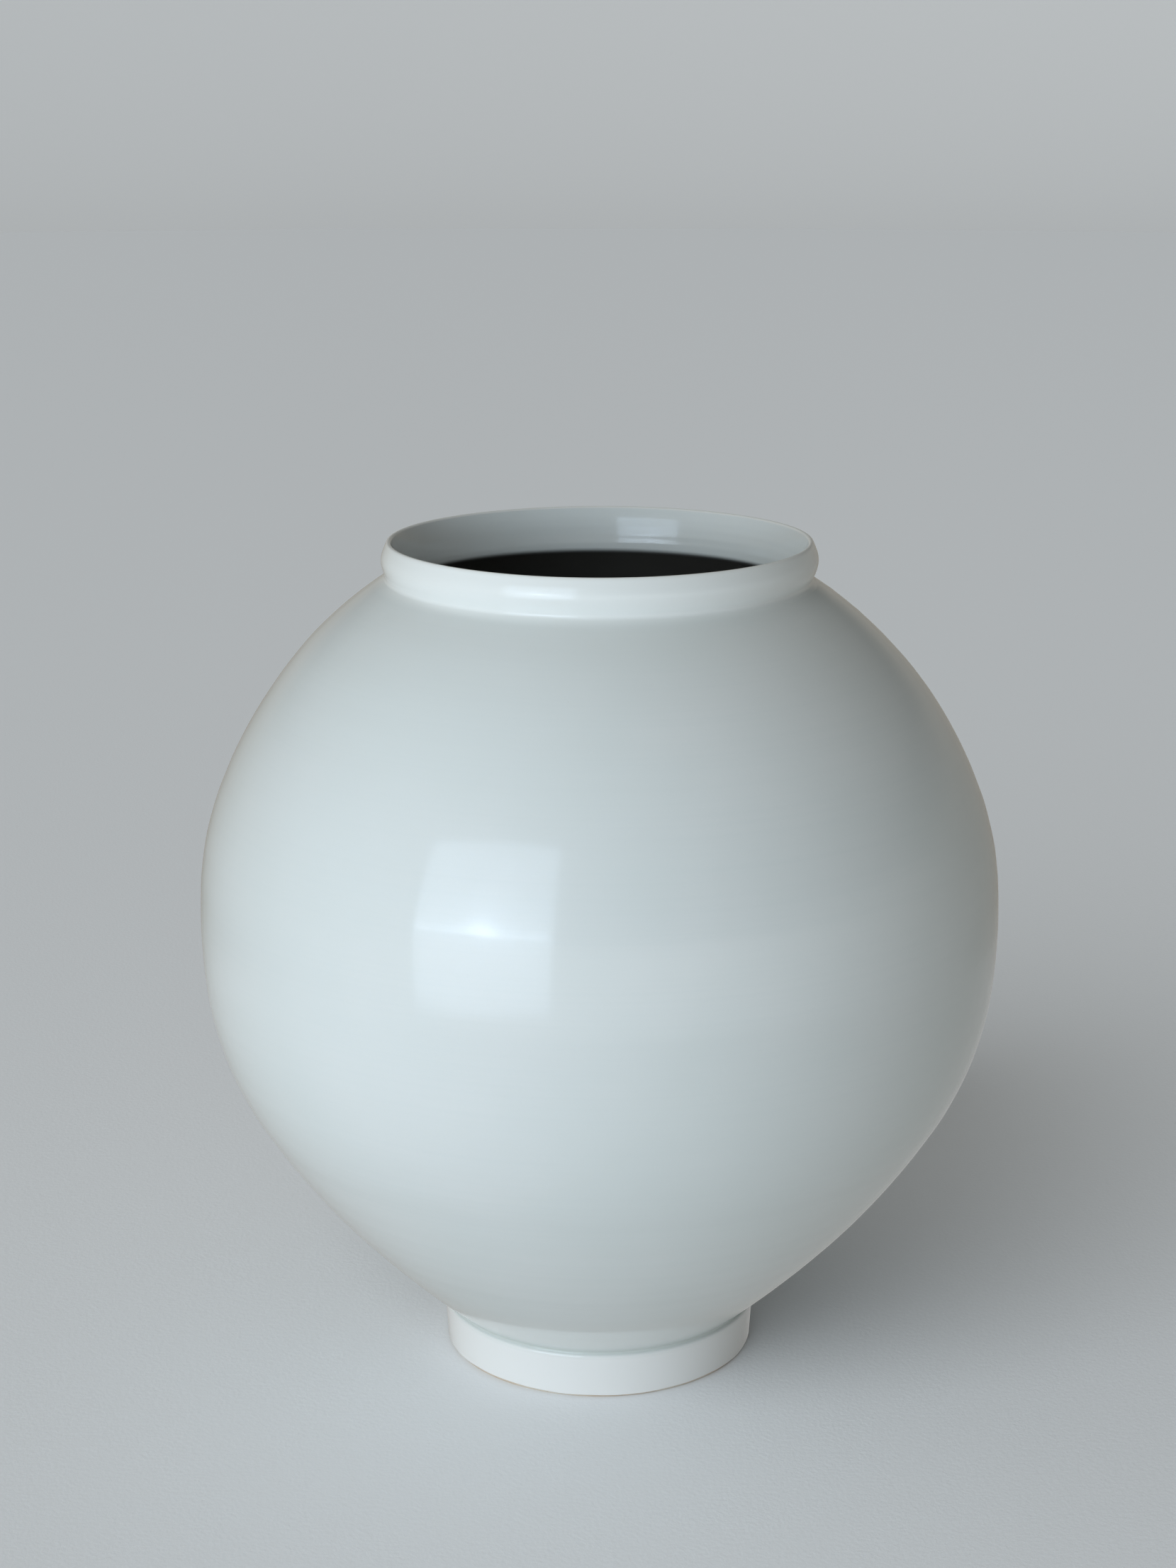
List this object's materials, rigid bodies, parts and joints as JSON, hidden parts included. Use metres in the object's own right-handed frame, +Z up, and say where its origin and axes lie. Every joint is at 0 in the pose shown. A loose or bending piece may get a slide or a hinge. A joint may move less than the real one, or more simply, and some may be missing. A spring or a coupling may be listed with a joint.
{
  "type": "moon jar",
  "caption": "Near-spherical pale glazed porcelain jar with a short rolled mouth collar, a keyed seam at the belly and a narrow foot ring.",
  "frame": {"origin": "on the jar's vertical axis, at the plane the foot ring stands on", "axes": "+Z up along the axis the jar was turned about; -Y towards the viewer of the picture and +X to its right"},
  "size_m": [0.3804, 0.3802, 0.4],
  "materials": {
    "glaze": "pale celadon-white glaze, satin gloss, faint orange peel and throwing lines",
    "porcelain": "unglazed fired porcelain, matt, slightly toasted where it shows",
    "slip": "luting slip fired into the joints, matt"
  },
  "bodies": {
    "root": {"lower_bowl": "porcelain", "upper_bowl": "porcelain", "mouth_collar": "porcelain", "foot_ring": "porcelain", "equator_slip_joint": "slip", "collar_slip_joint": "slip", "foot_slip_joint": "slip", "outer_glaze": "glaze", "inner_glaze": "glaze", "recess_glaze": "glaze"}
  },
  "joints": []
}
